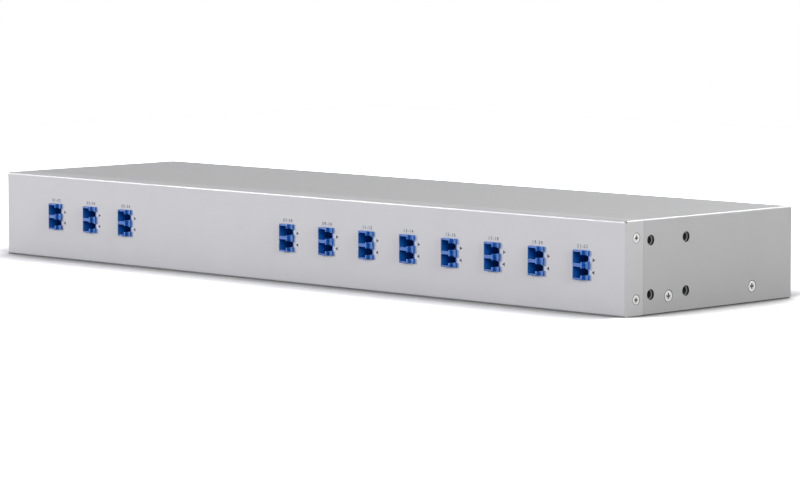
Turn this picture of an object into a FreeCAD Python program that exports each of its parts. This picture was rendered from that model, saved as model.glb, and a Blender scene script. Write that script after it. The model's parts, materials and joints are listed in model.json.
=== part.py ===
import FreeCAD, Part
import math
import os

# A rack-mount coarse wavelength division multiplexer: a folded steel enclosure one rack unit
# high, a row of duplex fibre adapters in its front panel, and two filter modules inside.
# Millimetres. X runs to the right across the front panel, Y runs from the front to the back and
# Z runs up. The sub-parts are drawn with Y measured from the front face of the panel. They are
# then moved so that the origin is the centre of the underside of the overall box.

# Enclosure of folded steel sheet
WIDTH = 440.0
DEPTH = 120.0
HEIGHT = 44.0
SHEET = 1.2
BEND_INNER = 0.3
SEAM = 0.3
SLIP = 0.1
PANEL_RETURN = 12.0
WALL_LIFT = 0.4
RELIEF_R = 0.7
RELIEF_SIDES = 8

# Base plate: low side flanges with taller tabs that take the side screws
BASE_FLANGE_H = 4.0
BASE_TAB_H = 13.5
BASE_TAB_W = 13.0
BASE_REAR_H = 12.0
JOGGLE_RUN = 2.0
TONGUE_START = 3.0
TONGUE_INSET = 6.0

# Square pattern of tapped holes for the rack ears, on each side wall
EAR_FIRST_Y = 17.2
EAR_FIRST_Z = 9.3
EAR_PITCH = 25.0
EAR_HOLE_R = 2.5
EAR_TAP_R = 2.2
EAR_NUT_R = 4.6
EAR_NUT_T = 4.0
EAR_NUT_SIDES = 6
EAR_TAP_SIDES = 8

# Countersunk screws: front panel to its brackets, and shell to base
PANEL_SCREW_Y = 7.3
PANEL_SCREW_LOW_Z = 7.6
PANEL_SCREW_DROP = 8.1
PANEL_SCREW_R = 1.25
PANEL_SCREW_HEAD_R = 2.5
PANEL_SCREW_LENGTH = 5.0
BASE_SCREW_FRONT_Y = 30.0
BASE_SCREW_REAR_Y = 90.7
BASE_SCREW_Z = 7.7
BASE_SCREW_R = 1.5
BASE_SCREW_HEAD_R = 2.95
BASE_SCREW_LENGTH = 6.0
SCREW_CLEAR = 0.05
HEAD_SINK = 0.05
SCREW_SIDES = 12

# Brackets that carry the front panel on the side walls
BRACKET_T = 1.5
BRACKET_FRONT_Y = 2.5
BRACKET_EDGE = 3.5
BRACKET_TONGUE_REACH = 27.0
BRACKET_TONGUE_H = 13.6

# Duplex adapters: two ports, one above the other, latch side to the right. Line ports run from
# the blank part of the panel to the left side and channel ports to the right side, as many as fit.
ADAPTER_PITCH = 27.87
LINE_LAST_X = -123.2
CHANNEL_FIRST_X = -1.45
PANEL_MARGIN = 26.0
PORT_MID_Z = 22.35
PORT_PITCH = 6.2
PORT = 4.6
LATCH_SLOT_W = 3.3
LATCH_SLOT_D = 3.0
ADAPTER_WALL = 1.25
FLAT_WALL = 0.3
LATCH_WALL = 0.7
ADAPTER_LENGTH = 27.5
ADAPTER_PROUD = 2.0
ADAPTER_CLEAR = 0.05
RIM_LIP = 0.2
LATCH_STEP = 1.3
LATCH_STEP_START = 0.75
LATCH_WALL_STEP = 0.8
LATCH_NOTCH_W = 2.6
PARTITION_T = 1.2

# Spring clip that holds each adapter in the panel
CLIP_T = 0.3
CLIP_W = 7.0
CLIP_LEG = 6.5
BARB_LENGTH = 4.0
BARB_RISE = 0.8
BARB_W = 3.0

# Pigtails plugged into the backs of the adapters. The many small rods are six-sided.
ROD_SIDES = 6
FERRULE_R = 0.625
SLEEVE_R = 0.82
SLEEVE_LENGTH = 6.8
SLEEVE_FIT = 0.02
PLUG = 4.5
PLUG_SETBACK = 0.4
PLUG_TAIL = 7.0
PLUG_LATCH_W = 2.8
PLUG_LATCH_T = 0.7
PLUG_LATCH_RISE = 2.3
PLUG_LATCH_TRIGGER = 3.2
BOOT_R = 2.4
BOOT_TIP_R = 1.0
BOOT_LENGTH = 17.0
BOOT_SIDES = 4
FIBRE = 0.9
FIBRE_BEND = 18.0
FIBRE_BEND_STEPS = 3
FIBRE_LEAD = 3.0
LANE_PITCH = 2.5

# Filter modules, one above the other behind the blank part of the panel
MODULE_W = 80.0
MODULE_T = 10.0
MODULE_WALL = 1.5
MODULE_LID_T = 1.2
MODULE_FRONT_Y = 14.0
MODULE_REAR_CLEAR = 4.8
MODULE_CHAMFER = 3.0
MODULE_DROP = 0.4
FILTER_COUNT = 9
FILTER_R = 2.75
FILTER_LENGTH = 35.0
FILTER_PITCH = 7.4
FILTER_FRONT = 10.0
RIB_T = 1.2
RIB_H = 4.0
RIB_INSET = 3.0
COIL_T = 3.0
COIL_H = 3.0
COIL_CLEAR = 4.75
COIL_SIDES = 16
NOTCH_CLEAR = 0.1
FIBRE_IN = 2.0

# Shelf and foam pads under the modules, and combs that carry the fibres
SHELF_FOOT = 8.0
SHELF_SETBACK = 4.0
SHELF_INSET = 12.0
SHELF_T = 1.0
PAD_W = 50.0
PAD_L = 18.0
PAD_T = 0.8
PAD_INSET = 10.0
COMB_SKIP_COUNT = 1
COMB_STEP_COUNT = 4
COMB_CLEAR = 1.0
COMB_T = 2.5
COMB_EDGE = 3.0
COMB_FOOT = 9.0
COMB_FOOT_T = 1.5
COMB_TOP = 3.0
COMB_SLOT = 1.1

# Worked out from the sizes above
BEND_OUTER = BEND_INNER + SHEET
SIDE_X = WIDTH / 2
INNER_X = SIDE_X - SHEET
BASE_X = INNER_X - SLIP
BODY_FRONT_Y = PANEL_RETURN + SEAM
REAR_INNER_Y = DEPTH - SHEET
FRONT_Y = -(DEPTH - ADAPTER_PROUD) / 2
ADAPTER_W = FLAT_WALL + PORT + LATCH_SLOT_D + LATCH_WALL
ADAPTER_H = 2 * ADAPTER_WALL + PORT_PITCH + PORT
ADAPTER_BACK_Y = ADAPTER_LENGTH - ADAPTER_PROUD
ADAPTER_MID_Y = ADAPTER_LENGTH / 2 - ADAPTER_PROUD
PARTITION_BACK_Y = ADAPTER_MID_Y + PARTITION_T / 2
PORT_OFFSET_X = FLAT_WALL + PORT / 2 - ADAPTER_W / 2
PORT_REACH = SIDE_X - PANEL_MARGIN
LINE_COUNT = 1 + int((LINE_LAST_X + PORT_REACH) / ADAPTER_PITCH)
CHANNEL_COUNT = 1 + int((PORT_REACH - CHANNEL_FIRST_X) / ADAPTER_PITCH)
LINE_X = [LINE_LAST_X - i * ADAPTER_PITCH for i in reversed(range(LINE_COUNT))]
CHANNEL_X = [CHANNEL_FIRST_X + i * ADAPTER_PITCH for i in range(CHANNEL_COUNT)]
UPPER_Z = PORT_MID_Z + PORT_PITCH / 2
LOWER_Z = PORT_MID_Z - PORT_PITCH / 2
PLUG_FRONT_Y = ADAPTER_MID_Y + SLEEVE_LENGTH / 2 + PLUG_SETBACK
PLUG_BACK_Y = ADAPTER_BACK_Y + PLUG_TAIL
BOOT_BACK_Y = PLUG_BACK_Y + BOOT_LENGTH
FIRST_LANE_Y = BOOT_BACK_Y + FIBRE_LEAD + FIBRE_BEND
MODULE_X = (LINE_X[-1] + CHANNEL_X[0]) / 2
MODULE_MID_Z = PORT_MID_Z - MODULE_DROP
MODULE_BACK_Y = REAR_INNER_Y - MODULE_REAR_CLEAR
FILTER_START_Y = MODULE_FRONT_Y + FILTER_FRONT
FILTER_END_Y = FILTER_START_Y + FILTER_LENGTH
COIL_R = (MODULE_BACK_Y - MODULE_WALL - FILTER_END_Y) / 2 - COIL_CLEAR
MUX_Z = MODULE_MID_Z + PAD_T
DEMUX_Z = MODULE_MID_Z - MODULE_T

# How near an edge lies to the place it is looked for, how far a cut runs past a face, and the
# kind of corner that a swept section makes where its path turns
NEAR = 1e-4
PAST = 1.0
MITRED = 1


def block(x, y, z):
    """A box between two values along each axis."""
    corner = FreeCAD.Vector(min(x), min(y), min(z))
    return Part.makeBox(abs(x[1] - x[0]), abs(y[1] - y[0]), abs(z[1] - z[0]), corner)


def rod(radius, start, end):
    """A round rod from start to end."""
    start = FreeCAD.Vector(*start)
    run = FreeCAD.Vector(*end) - start
    return Part.makeCylinder(radius, run.Length, start, run)


def prism(points, along):
    """A closed outline carried along a vector."""
    corners = [FreeCAD.Vector(*p) for p in points]
    outline = Part.makePolygon(corners + corners[:1])
    return Part.Face(outline).extrude(FreeCAD.Vector(*along))


def faceted_rod(sides, radius, start, end, tip_radius=None):
    """A rod with flat sides, tapered where the far end has its own radius."""
    start, end = FreeCAD.Vector(*start), FreeCAD.Vector(*end)
    across = (end - start).cross(FreeCAD.Vector(0, 0, 1)).normalize()
    up = across.cross(end - start).normalize()
    rings = []
    for centre, ring_r in ((start, radius), (end, tip_radius or radius)):
        turns = [2 * math.pi * (i + 0.5) / sides for i in range(sides)]
        corners = [centre + across * (ring_r * math.cos(t)) + up * (ring_r * math.sin(t)) for t in turns]
        rings.append(Part.makePolygon(corners + corners[:1]))
    return Part.makeLoft(rings, True, True)


def edges_at(shape, **at):
    """The edges that lie wholly at the given coordinates, such as x=10, z=0."""
    chosen = []
    for edge in shape.Edges:
        box = edge.BoundBox
        low = {"x": box.XMin, "y": box.YMin, "z": box.ZMin}
        high = {"x": box.XMax, "y": box.YMax, "z": box.ZMax}
        if all(abs(low[k] - at[k]) < NEAR and abs(high[k] - at[k]) < NEAR for k in at):
            chosen.append(edge)
    return chosen


def rounded(shape, radius, places):
    """A shape with a fillet on the edges at each of the given places."""
    edges = []
    for place in places:
        edges += edges_at(shape, **place)
    return shape.makeFillet(radius, edges)


def joined(shapes):
    """One solid from several that share volume or faces."""
    first, rest = shapes[0], shapes[1:]
    if not rest:
        return first
    return first.fuse(rest).removeSplitter()


def sides():
    """The two side walls, as the sign of X."""
    return (1, -1)


def ear_holes():
    """The centres of the rack ears' holes, as Y and Z."""
    steps = (0, EAR_PITCH)
    return [(EAR_FIRST_Y + dy, EAR_FIRST_Z + dz) for dy in steps for dz in steps]


def panel_screw_places():
    return [(PANEL_SCREW_Y, PANEL_SCREW_LOW_Z), (PANEL_SCREW_Y, HEIGHT - PANEL_SCREW_DROP)]


def base_screw_places():
    return [(BASE_SCREW_FRONT_Y, BASE_SCREW_Z), (BASE_SCREW_REAR_Y, BASE_SCREW_Z)]


def countersunk_hole(side, y, z, radius, head_radius, behind=0):
    """The tool that cuts a screw's hole and seat through a side wall and what lies behind it."""
    face = side * SIDE_X
    neck = (face - side * (head_radius - radius), y, z)
    far = (face - side * (SHEET + behind + head_radius), y, z)
    seat = faceted_rod(SCREW_SIDES, head_radius, (face, y, z), neck, radius)
    return seat.fuse(faceted_rod(SCREW_SIDES, radius, neck, far))


def countersunk_screw(side, y, z, radius, head_radius, length):
    """A countersunk screw, its head just below the face of a side wall."""
    top = side * (SIDE_X - HEAD_SINK)
    shank_r = radius - SCREW_CLEAR
    head_r = head_radius - SCREW_CLEAR - HEAD_SINK
    neck = (top - side * (head_r - shank_r), y, z)
    tip = (top - side * (length - HEAD_SINK), y, z)
    head = faceted_rod(SCREW_SIDES, head_r, (top, y, z), neck, shank_r)
    return joined([head, faceted_rod(SCREW_SIDES, shank_r, neck, tip)])


def front_panel():
    """A folded pan: the front face with a return all round, flush with the shell."""
    outer = block((-SIDE_X, SIDE_X), (0, PANEL_RETURN), (0, HEIGHT))
    folds = [dict(y=0, z=0), dict(y=0, z=HEIGHT)]
    for side in sides():
        folds += [dict(x=side * SIDE_X, y=0), dict(x=side * SIDE_X, z=HEIGHT)]
    pan = rounded(outer, BEND_OUTER, folds)
    low, high = SHEET, HEIGHT - SHEET
    inner = block((-INNER_X, INNER_X), (SHEET, PANEL_RETURN + PAST), (low, high))
    folds = [dict(y=SHEET, z=low), dict(y=SHEET, z=high)]
    folds += [dict(x=side * INNER_X, y=SHEET) for side in sides()]
    pan = pan.cut(rounded(inner, BEND_INNER, folds))
    tools = []
    for centre in LINE_X + CHANNEL_X:
        tools.append(adapter_block(centre, ADAPTER_CLEAR, (-PAST, SHEET + PAST)))
    for side in sides():
        corner = (side * SIDE_X, 0, HEIGHT)
        within = (side * (SIDE_X - BEND_OUTER), BEND_OUTER, HEIGHT - BEND_OUTER)
        tools.append(faceted_rod(RELIEF_SIDES, RELIEF_R, corner, within))
        for y, z in panel_screw_places():
            tools.append(countersunk_hole(side, y, z, PANEL_SCREW_R, PANEL_SCREW_HEAD_R))
    return pan.cut(tools)


def shell():
    """Top, sides and rear of one folded sheet, with an open seam at each rear corner."""
    outer = block((-SIDE_X, SIDE_X), (BODY_FRONT_Y, DEPTH), (WALL_LIFT, HEIGHT))
    folds = [dict(x=-SIDE_X, z=HEIGHT), dict(x=SIDE_X, z=HEIGHT), dict(y=DEPTH, z=HEIGHT)]
    sheet = rounded(outer, BEND_OUTER, folds)
    under = HEIGHT - SHEET
    inside_y = (BODY_FRONT_Y - PAST, REAR_INNER_Y)
    inner = block((-INNER_X, INNER_X), inside_y, (WALL_LIFT - PAST, under))
    folds = [dict(x=-INNER_X, z=under), dict(x=INNER_X, z=under), dict(y=REAR_INNER_Y, z=under)]
    sheet = sheet.cut(rounded(inner, BEND_INNER, folds))
    tools = []
    seam_top = HEIGHT - 2 * BEND_OUTER
    for side in sides():
        seam_x = (side * INNER_X, side * (INNER_X - SEAM))
        rear = (REAR_INNER_Y - PAST, DEPTH + PAST)
        tools.append(block(seam_x, rear, (WALL_LIFT - PAST, seam_top)))
        seam_mid = side * (INNER_X - SEAM / 2)
        seam_end = (seam_mid, rear[0], seam_top), (seam_mid, rear[1], seam_top)
        tools.append(faceted_rod(RELIEF_SIDES, RELIEF_R, *seam_end))
        wall_x = (side * (INNER_X - PAST), side * (SIDE_X + PAST))
        for y, z in ear_holes():
            tools.append(rod(EAR_HOLE_R, (wall_x[0], y, z), (wall_x[1], y, z)))
        for y, z in base_screw_places():
            tools.append(countersunk_hole(side, y, z, BASE_SCREW_R, BASE_SCREW_HEAD_R))
    return sheet.cut(tools)


def base_plate():
    """Folded bottom with side tabs, a rear flange and a joggled tongue over the panel's return."""
    flat_y = BODY_FRONT_Y + JOGGLE_RUN
    rear_y = REAR_INNER_Y - SLIP
    tray_top = max(BASE_TAB_H, BASE_REAR_H)
    outer = block((-BASE_X, BASE_X), (flat_y, rear_y), (0, tray_top))
    folds = [dict(x=-BASE_X, z=0), dict(x=BASE_X, z=0), dict(y=rear_y, z=0)]
    tray = rounded(outer, BEND_OUTER, folds)
    inner_x, inner_y = BASE_X - SHEET, rear_y - SHEET
    inner = block((-inner_x, inner_x), (flat_y - PAST, inner_y), (SHEET, tray_top + PAST))
    folds = [dict(x=-inner_x, z=SHEET), dict(x=inner_x, z=SHEET), dict(y=inner_y, z=SHEET)]
    tray = tray.cut(rounded(inner, BEND_INNER, folds))
    tools = []
    half_tab = BASE_TAB_W / 2
    stops = [flat_y - PAST]
    for y, z in base_screw_places():
        stops += [y - half_tab, y + half_tab]
    stops += [rear_y + PAST]
    above_tabs = (BASE_TAB_H, tray_top + PAST)
    above_flange = (BASE_FLANGE_H, tray_top + PAST)
    clear_y = inner_y - BEND_INNER
    for side in sides():
        wall_x = (side * (inner_x - BEND_INNER), side * (BASE_X + PAST))
        for start, end in zip(stops[0::2], stops[1::2]):
            tools.append(block(wall_x, (start, end), above_flange))
        tools.append(block(wall_x, (flat_y - PAST, rear_y + PAST), above_tabs))
        for y, z in base_screw_places():
            tools.append(countersunk_hole(side, y, z, BASE_SCREW_R, BASE_SCREW_HEAD_R, SLIP + SHEET))
    rear_x = (-inner_x + BEND_INNER, inner_x - BEND_INNER)
    tools.append(block(rear_x, (clear_y, rear_y + PAST), (BASE_REAR_H, tray_top + PAST)))
    tray = tray.cut(tools)
    slope = math.atan2(SHEET, JOGGLE_RUN)
    offset = SHEET * math.tan(slope / 2)
    half = BASE_X - TONGUE_INSET
    section = [
        (TONGUE_START, SHEET),
        (BODY_FRONT_Y, SHEET),
        (flat_y, 0),
        (flat_y + PAST, 0),
        (flat_y + PAST, SHEET),
        (flat_y + offset, SHEET),
        (BODY_FRONT_Y + offset, 2 * SHEET),
        (TONGUE_START, 2 * SHEET),
    ]
    tongue = prism([(-half, y, z) for y, z in section], (2 * half, 0, 0))
    return joined([tray, tongue])


def panel_bracket(side):
    """A flat bracket on the inside of a side wall: a strip for the panel screws and a tongue."""
    strip_back = PANEL_RETURN - SEAM
    low, high = BRACKET_EDGE, HEIGHT - BRACKET_EDGE
    middle = EAR_FIRST_Z + EAR_PITCH / 2
    tongue_low, tongue_high = middle - BRACKET_TONGUE_H / 2, middle + BRACKET_TONGUE_H / 2
    outline = [
        (BRACKET_FRONT_Y, low),
        (strip_back, low),
        (strip_back, tongue_low),
        (BRACKET_TONGUE_REACH, tongue_low),
        (BRACKET_TONGUE_REACH, tongue_high),
        (strip_back, tongue_high),
        (strip_back, high),
        (BRACKET_FRONT_Y, high),
    ]
    plate = prism([(side * INNER_X, y, z) for y, z in outline], (-side * BRACKET_T, 0, 0))
    holes = []
    for y, z in panel_screw_places():
        holes.append(countersunk_hole(side, y, z, PANEL_SCREW_R, PANEL_SCREW_HEAD_R, BRACKET_T))
    return plate.cut(holes)


def ear_nuts(side):
    """Nuts welded behind the rack ears' holes."""
    nuts = []
    for y, z in ear_holes():
        face = (side * INNER_X, y, z)
        back = (side * (INNER_X - EAR_NUT_T), y, z)
        body = faceted_rod(EAR_NUT_SIDES, EAR_NUT_R, face, back)
        nuts.append(body.cut(faceted_rod(EAR_TAP_SIDES, EAR_TAP_R, face, back)))
    return nuts


def panel_screws():
    size = (PANEL_SCREW_R, PANEL_SCREW_HEAD_R, PANEL_SCREW_LENGTH)
    return [countersunk_screw(s, y, z, *size) for s in sides() for y, z in panel_screw_places()]


def base_screws():
    size = (BASE_SCREW_R, BASE_SCREW_HEAD_R, BASE_SCREW_LENGTH)
    return [countersunk_screw(s, y, z, *size) for s in sides() for y, z in base_screw_places()]


def adapter_block(centre, margin, y):
    """The adapter's outline at one place across the panel, grown by a margin on every side."""
    half_w, half_h = ADAPTER_W / 2 + margin, ADAPTER_H / 2 + margin
    return block(
        (centre - half_w, centre + half_w), y, (PORT_MID_Z - half_h, PORT_MID_Z + half_h)
    )


def port_x(centre):
    """The middle of an adapter's ports across the panel."""
    return centre + PORT_OFFSET_X


def adapter_cavities(centre, y):
    """The tools that cut an adapter's two ports and their latch slots over a stretch of its length."""
    mid_x = port_x(centre)
    port_span = (mid_x - PORT / 2, mid_x + PORT / 2)
    slot_span = (port_span[1] - PAST, port_span[1] + LATCH_SLOT_D)
    tools = []
    for z in (UPPER_Z, LOWER_Z):
        tools.append(block(port_span, y, (z - PORT / 2, z + PORT / 2)))
        tools.append(block(slot_span, y, (z - LATCH_SLOT_W / 2, z + LATCH_SLOT_W / 2)))
    return tools


def lc_adapter(centre):
    """The front moulding of a duplex adapter, with a rim that is stepped and notched at the latches."""
    front = -ADAPTER_PROUD
    body = adapter_block(centre, 0, (front, PARTITION_BACK_Y))
    body = body.fuse(adapter_block(centre, RIM_LIP, (front, 0)))
    slot_start = port_x(centre) + PORT / 2
    slot_end = slot_start + LATCH_SLOT_D
    beyond = centre + ADAPTER_W / 2 + RIM_LIP + PAST
    step_x = (slot_start + LATCH_STEP_START, slot_end)
    tools = adapter_cavities(centre, (front - PAST, PARTITION_BACK_Y - PARTITION_T))
    tools.append(block(step_x, (front - PAST, front + LATCH_STEP), (0, HEIGHT)))
    tools.append(block((slot_end, beyond), (front - PAST, front + LATCH_WALL_STEP), (0, HEIGHT)))
    for z in (UPPER_Z, LOWER_Z):
        notch_z = (z - LATCH_NOTCH_W / 2, z + LATCH_NOTCH_W / 2)
        tools.append(block((slot_end - PAST, beyond), (front - PAST, 0), notch_z))
        seat = (port_x(centre), 0, z), (port_x(centre), ADAPTER_BACK_Y, z)
        tools.append(faceted_rod(ROD_SIDES, SLEEVE_R + SLEEVE_FIT, *seat))
    return body.cut(tools).removeSplitter()


def adapter_back(centre):
    """The back moulding of a duplex adapter, welded to the front one behind its partition."""
    body = adapter_block(centre, 0, (PARTITION_BACK_Y, ADAPTER_BACK_Y))
    return body.cut(adapter_cavities(centre, (PARTITION_BACK_Y - PAST, ADAPTER_BACK_Y + PAST)))


def adapter_clip(centre):
    """A spring clip round three sides of an adapter, its barbs against the panel's back."""
    span = (SHEET, SHEET + CLIP_W)
    left, half_h = centre - ADAPTER_W / 2, ADAPTER_H / 2
    rise, length = CLIP_T + BARB_RISE, BARB_LENGTH
    barb_x = left + CLIP_LEG - BARB_W
    reach = half_h + CLIP_T
    pieces = [block((left - CLIP_T, left), span, (PORT_MID_Z - reach, PORT_MID_Z + reach))]
    for up in (1, -1):
        face = PORT_MID_Z + up * half_h
        pieces.append(block((left - CLIP_T, left + CLIP_LEG), span, (face, face + up * CLIP_T)))
        barb = [(SHEET, face), (SHEET, face + up * rise), (SHEET + length, face)]
        pieces.append(prism([(barb_x, y, z) for y, z in barb], (BARB_W, 0, 0)))
    return joined(pieces)


def split_sleeve(x, z):
    """A ceramic sleeve in the adapter's partition, which lines up two ferrules."""
    ends = (x, ADAPTER_MID_Y - SLEEVE_LENGTH / 2, z), (x, ADAPTER_MID_Y + SLEEVE_LENGTH / 2, z)
    tube = faceted_rod(ROD_SIDES, SLEEVE_R, *ends)
    return tube.cut(faceted_rod(ROD_SIDES, FERRULE_R + SLEEVE_FIT, *ends))


def ferrule(x, z):
    """A plug's ceramic ferrule, its tip at the middle of the adapter."""
    return faceted_rod(ROD_SIDES, FERRULE_R, (x, ADAPTER_MID_Y, z), (x, PLUG_FRONT_Y, z))


def plug(x, z):
    """A plug's housing with its sprung latch, pushed into the back of an adapter."""
    half = PLUG / 2
    body = block((x - half, x + half), (PLUG_FRONT_Y, PLUG_BACK_Y), (z - half, z + half))
    top = x + half
    section = [
        (top - PLUG_LATCH_T, PLUG_FRONT_Y + PLUG_LATCH_T),
        (top, PLUG_FRONT_Y + PLUG_LATCH_T),
        (top + PLUG_LATCH_RISE, ADAPTER_BACK_Y),
        (top + PLUG_LATCH_TRIGGER, PLUG_BACK_Y),
        (top + PLUG_LATCH_TRIGGER - PLUG_LATCH_T, PLUG_BACK_Y),
        (top + PLUG_LATCH_RISE - PLUG_LATCH_T, ADAPTER_BACK_Y),
    ]
    low = z - PLUG_LATCH_W / 2
    latch = prism([(sx, y, low) for sx, y in section], (0, 0, PLUG_LATCH_W))
    return joined([body, latch])


def boot(x, z):
    """A tapered boot between a plug and its fibre."""
    return faceted_rod(BOOT_SIDES, BOOT_R, (x, PLUG_BACK_Y, z), (x, BOOT_BACK_Y, z), BOOT_TIP_R)


def lane_y(lane):
    """How far back a fibre runs across the enclosure. Lane 0 is next to the module."""
    return FIRST_LANE_Y + lane * LANE_PITCH


def module_side_x(side):
    """The outer face of the modules' right or left side."""
    return MODULE_X + side * MODULE_W / 2


def fibre(x, z, lane, side):
    """A buffered fibre from its boot, round one bend, through a notch in a module's side."""
    y = lane_y(lane)
    end_x = module_side_x(side) - side * (MODULE_WALL + FIBRE_IN)
    route = [(x, BOOT_BACK_Y)]
    for step in range(FIBRE_BEND_STEPS + 1):
        turn = math.pi / 2 * step / FIBRE_BEND_STEPS
        in_x, in_y = FIBRE_BEND * (1 - math.cos(turn)), FIBRE_BEND * (1 - math.sin(turn))
        route.append((x - side * in_x, y - in_y))
    route.append((end_x, y))
    spine = Part.makePolygon([FreeCAD.Vector(px, py, z) for px, py in route])
    half = FIBRE / 2
    corners = [(-half, -half), (half, -half), (half, half), (-half, half), (-half, -half)]
    section = Part.makePolygon([FreeCAD.Vector(x + dx, BOOT_BACK_Y, z + dz) for dx, dz in corners])
    return spine.makePipeShell([section], True, False, MITRED)


def pigtail_places():
    """Each adapter's place, its fibre's lane and the side of the module it runs to."""
    places = [(x, lane, -1) for lane, x in enumerate(reversed(LINE_X))]
    return places + [(x, lane, 1) for lane, x in enumerate(CHANNEL_X)]


def module_block(inset, z):
    """The module's outline, drawn in by an inset, with its corners cut."""
    x = (module_side_x(-1) + inset, module_side_x(1) - inset)
    y = (MODULE_FRONT_Y + inset, MODULE_BACK_Y - inset)
    slab = block(x, y, z)
    corners = []
    for cx in x:
        for cy in y:
            corners += edges_at(slab, x=cx, y=cy)
    return slab.makeChamfer(MODULE_CHAMFER, corners)


def filter_x(index):
    return MODULE_X + (index - (FILTER_COUNT - 1) / 2) * FILTER_PITCH


def module_case(base_z, fibre_z):
    """A moulded case with a notch for each fibre and ribs that keep the filters apart."""
    rim_z = base_z + MODULE_T - MODULE_LID_T
    floor_z = base_z + MODULE_WALL
    case = module_block(0, (base_z, rim_z)).cut(module_block(MODULE_WALL, (floor_z, rim_z + PAST)))
    pieces = [case]
    rib_y = (FILTER_START_Y + RIB_INSET, FILTER_END_Y - RIB_INSET)
    for i in range(FILTER_COUNT + 1):
        x = filter_x(i - 0.5)
        pieces.append(block((x - RIB_T / 2, x + RIB_T / 2), rib_y, (base_z, floor_z + RIB_H)))
    notches = []
    half = FIBRE / 2 + NOTCH_CLEAR
    for side, lanes in ((-1, LINE_COUNT), (1, CHANNEL_COUNT)):
        face = module_side_x(side)
        for lane in range(lanes):
            y = (lane_y(lane) - half, lane_y(lane) + half)
            wall_x = (face + side * PAST, face - side * (MODULE_WALL + NOTCH_CLEAR))
            notches.append(block(wall_x, y, (fibre_z - half, rim_z + PAST)))
    return joined(pieces).cut(notches)


def module_lid(base_z):
    """A module's flat lid."""
    top = base_z + MODULE_T
    return module_block(0, (top - MODULE_LID_T, top))


def filters(base_z):
    """Thin-film filter barrels, one to a wavelength, on the floor of a module."""
    z = base_z + MODULE_WALL + FILTER_R
    found = []
    for i in range(FILTER_COUNT):
        x = filter_x(i)
        found.append(faceted_rod(ROD_SIDES, FILTER_R, (x, FILTER_START_Y, z), (x, FILTER_END_Y, z)))
    return found


def fibre_coil(base_z):
    """The spare fibre of one module, coiled flat behind its filters."""
    low = base_z + MODULE_WALL
    centre_y = FILTER_END_Y + COIL_CLEAR + COIL_R
    rings = []
    for ring_r in (COIL_R, COIL_R - COIL_T):
        turns = [2 * math.pi * i / COIL_SIDES for i in range(COIL_SIDES)]
        points = [(MODULE_X + ring_r * math.cos(t), centre_y + ring_r * math.sin(t), low) for t in turns]
        rings.append(prism(points, (0, 0, COIL_H)))
    return rings[0].cut(rings[1])


def module_shelf():
    """A folded shelf on the base plate that carries the modules at the height of the ports."""
    half = MODULE_W / 2 - SHELF_INSET
    low, top = SHEET, DEMUX_Z - PAD_T
    right = [
        (half + SHELF_FOOT, low),
        (half + SHELF_FOOT, low + SHELF_T),
        (half, low + SHELF_T),
        (half, top),
    ]
    left = [(-x, z) for x, z in reversed(right)]
    inside = half - SHELF_T
    under = [(-inside, low), (-inside, top - SHELF_T), (inside, top - SHELF_T), (inside, low)]
    front, back = MODULE_FRONT_Y + SHELF_SETBACK, MODULE_BACK_Y - SHELF_SETBACK
    outline = [(MODULE_X + x, front, z) for x, z in right + left + under]
    return prism(outline, (0, back - front, 0))


def foam_pads():
    """Adhesive foam pads between the shelf, the lower module and the upper module."""
    found = []
    x = (MODULE_X - PAD_W / 2, MODULE_X + PAD_W / 2)
    for low in (DEMUX_Z - PAD_T, MODULE_MID_Z):
        for start in (MODULE_FRONT_Y + PAD_INSET, MODULE_BACK_Y - PAD_INSET - PAD_L):
            found.append(block(x, (start, start + PAD_L), (low, low + PAD_T)))
    return found


def fibre_combs():
    """Moulded combs on the base plate, in whose slots the fibres lie."""
    found = []
    half = COMB_SLOT / 2
    for first_lane in range(COMB_SKIP_COUNT, CHANNEL_COUNT, COMB_STEP_COUNT):
        x = port_x(CHANNEL_X[first_lane]) - FIBRE_BEND - COMB_CLEAR - COMB_T
        y = (lane_y(first_lane) - COMB_EDGE, lane_y(CHANNEL_COUNT - 1) + COMB_EDGE)
        plate = block((x, x + COMB_T), y, (SHEET, UPPER_Z + COMB_TOP))
        foot = block((x, x + COMB_FOOT), y, (SHEET, SHEET + COMB_FOOT_T))
        slots = []
        for lane in range(first_lane, CHANNEL_COUNT):
            slot_y = (lane_y(lane) - half, lane_y(lane) + half)
            slots.append(block((x - PAST, x + COMB_T + PAST), slot_y, (LOWER_Z - half, HEIGHT)))
        found.append(joined([plate, foot]).cut(slots))
    return found


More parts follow.
